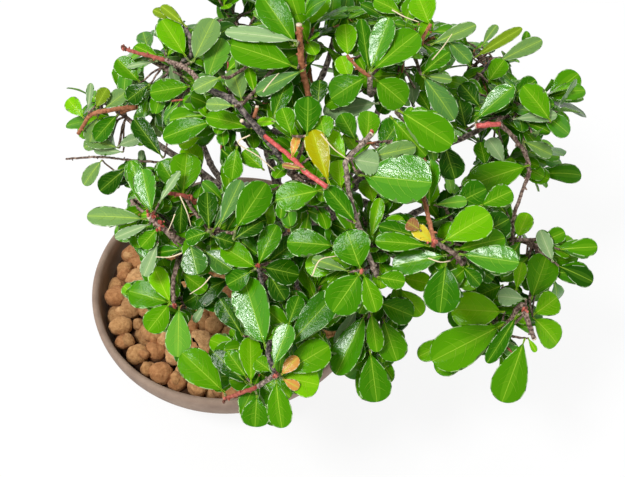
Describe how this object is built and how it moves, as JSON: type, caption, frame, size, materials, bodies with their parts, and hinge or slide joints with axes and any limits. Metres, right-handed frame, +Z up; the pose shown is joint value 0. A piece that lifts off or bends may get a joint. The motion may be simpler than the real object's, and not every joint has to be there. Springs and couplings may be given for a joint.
{
  "type": "potted maytenus shrub",
  "caption": "Small evergreen shrub with glossy spoon-shaped leaves on dark boughs, leaning out over a shallow round clay pot filled with clay granules.",
  "frame": {"origin": "middle of the pot's flat underside", "axes": "+Z up, -Y towards the viewer of the picture, +X to that viewer's right, the way the crown leans"},
  "size_m": [0.2627, 0.2637, 0.2355],
  "materials": {
    "pot_clay": "matte unglazed brown-grey clay",
    "granules": "rough porous ochre clay granules",
    "bark": "dark grey-brown bark, young shoots red",
    "foliage": "glossy leathery leaf, paler matt underside"
  },
  "bodies": {
    "root": {"pot": "pot_clay", "clay_fill": "granules", "trunk": "bark", "bough_centre_top": "bark", "bough_right": "bark", "bough_far_left": "bark", "bough_front_mid": "bark", "bough_back_left": "bark", "bough_top_right": "bark", "bough_top_mid_left": "bark", "bough_heart": "bark", "bough_centre": "bark", "bough_right_mid": "bark", "bough_right_front": "bark", "bough_front_right": "bark", "bough_right_low": "bark", "bough_left": "bark", "bough_left_low": "bark", "bough_left_back": "bark", "bough_front": "bark", "bough_front_left": "bark", "bough_left_mid": "bark", "bough_back": "bark", "bough_back_low": "bark", "bough_mid_top": "bark", "bough_top_left": "bark", "bough_top_mid_right": "bark", "bough_right_back": "bark", "bough_back_right": "bark", "leaves_front": "foliage", "leaves_front_left": "foliage", "leaves_left": "foliage", "leaves_left_mid": "foliage", "leaves_front_mid": "foliage", "leaves_centre": "foliage", "leaves_heart": "foliage", "leaves_centre_top": "foliage", "leaves_right_mid": "foliage", "leaves_front_right": "foliage", "leaves_right_front": "foliage", "leaves_right": "foliage", "leaves_right_back": "foliage", "leaves_top_right": "foliage", "leaves_top_mid_right": "foliage", "leaves_top_mid_left": "foliage", "leaves_mid_top": "foliage", "leaves_top_left": "foliage", "leaves_far_left": "foliage", "leaves_left_low": "foliage", "leaves_left_back": "foliage", "leaves_back_left": "foliage", "leaves_back": "foliage", "leaves_back_low": "foliage", "leaves_back_right": "foliage", "leaves_right_low": "foliage"}
  },
  "joints": []
}
